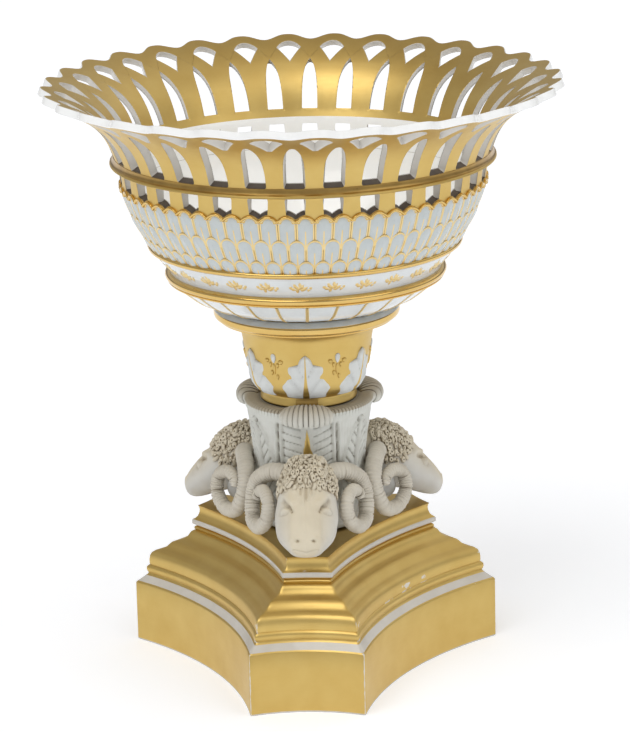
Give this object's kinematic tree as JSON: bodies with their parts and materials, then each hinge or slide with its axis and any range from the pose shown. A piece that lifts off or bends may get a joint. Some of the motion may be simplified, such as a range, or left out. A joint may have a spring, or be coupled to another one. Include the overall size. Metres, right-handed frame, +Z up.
{
  "type": "porcelain centrepiece",
  "caption": "Pierced and gilded porcelain basket on a cup, a leaf capital with rams' heads and a hollow plinth with hollow sides, drawn together by a threaded rod.",
  "frame": {"origin": "on the floor under the axis of the rod, at the middle of the plinth's foot", "axes": "+Z up along the rod's axis; -Y towards the front ram and the front canted face of the plinth; +X to the viewer's right"},
  "size_m": [0.293, 0.293, 0.3398],
  "materials": {
    "gilded_porcelain": "matt and burnished gilding over glazed hard-paste porcelain, worn at the arrises",
    "glazed_porcelain": "clear glaze on white hard-paste porcelain, with gilded ribs, rings and scale outlines",
    "biscuit_porcelain": "unglazed biscuit porcelain, soft sheen, grey-brown in the hollows",
    "iron": "dull drawn iron",
    "brass": "turned brass, dulled with age",
    "leather": "cut leather",
    "cork": "cut cork"
  },
  "bodies": {
    "root": {"plinth": "gilded_porcelain", "leaf_capital": "biscuit_porcelain", "ram_head_front": "biscuit_porcelain", "ram_head_rear_right": "biscuit_porcelain", "ram_head_rear_left": "biscuit_porcelain", "horn_right_front": "biscuit_porcelain", "horn_left_front": "biscuit_porcelain", "horn_right_rear_right": "biscuit_porcelain", "horn_left_rear_right": "biscuit_porcelain", "horn_right_rear_left": "biscuit_porcelain", "horn_left_rear_left": "biscuit_porcelain", "cup": "gilded_porcelain", "basket": "glazed_porcelain", "tie_rod": "iron", "bowl_soft_washer": "leather", "bowl_washer": "brass", "bowl_nut": "brass", "plinth_soft_washer": "cork", "plinth_washer": "iron", "plinth_nut": "iron"}
  },
  "joints": []
}
